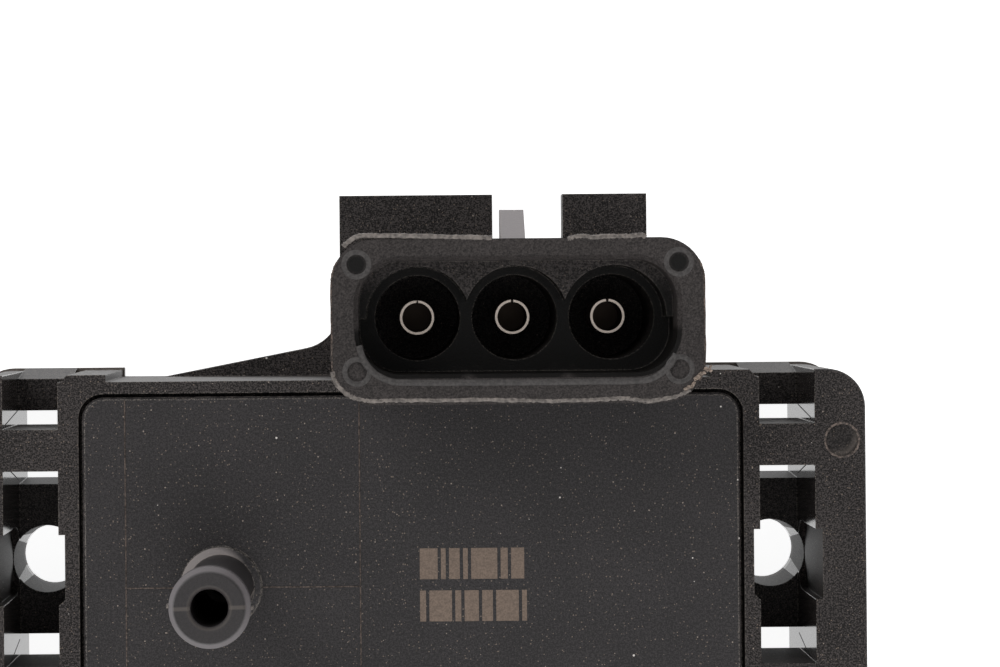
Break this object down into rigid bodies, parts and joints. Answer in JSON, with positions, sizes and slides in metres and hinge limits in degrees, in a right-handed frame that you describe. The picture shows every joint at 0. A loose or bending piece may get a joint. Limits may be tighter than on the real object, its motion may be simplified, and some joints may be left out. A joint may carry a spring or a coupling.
{
  "type": "manifold absolute pressure sensor",
  "caption": "Flat black plastic pressure sensor with slotted mounting ears, a hose nipple and a keyed sealed electrical socket beside the cover.",
  "frame": {"origin": "midpoint of the two screw holes, on the rear face that bolts to the engine", "axes": "+X along the line of the screw holes, +Y towards the electrical socket, +Z out of the cover along the hose nipple"},
  "size_m": [0.0768, 0.0484, 0.0395],
  "materials": {
    "housing_plastic": "glass-filled black, spark-eroded grain",
    "cover_plastic": "glass-filled black, fine spark-eroded grain",
    "terminal_metal": "tinned, soft sheen",
    "board_ceramic": "fired alumina, matt",
    "sealant": "cured silicone",
    "cell_plastic": "moulded, fine",
    "die_glass": "ground glass",
    "silicon": "polished wafer",
    "gel": "clear soft gel",
    "lead_metal": "tinned",
    "wire_metal": "drawn",
    "ring_rubber": "moulded",
    "chip_plastic": "moulded, fine",
    "capacitor_ceramic": "fired",
    "resistor_paste": "printed and fired",
    "solder": "reflowed"
  },
  "bodies": {
    "root": {"housing": "housing_plastic", "cover": "cover_plastic", "cover_seal": "sealant", "terminal_1": "terminal_metal", "terminal_2": "terminal_metal", "terminal_3": "terminal_metal", "circuit_board": "board_ceramic", "board_adhesive": "sealant", "cell_body": "cell_plastic", "cell_cap": "cell_plastic", "glass_pedestal": "die_glass", "silicon_die": "silicon", "bond_wires": "wire_metal", "gel_fill": "gel", "cell_leads": "lead_metal", "port_seal_ring": "ring_rubber", "signal_chip": "chip_plastic", "chip_capacitors": "capacitor_ceramic", "filter_capacitors": "capacitor_ceramic", "trim_resistors": "resistor_paste", "solder_joints": "solder"}
  },
  "joints": []
}
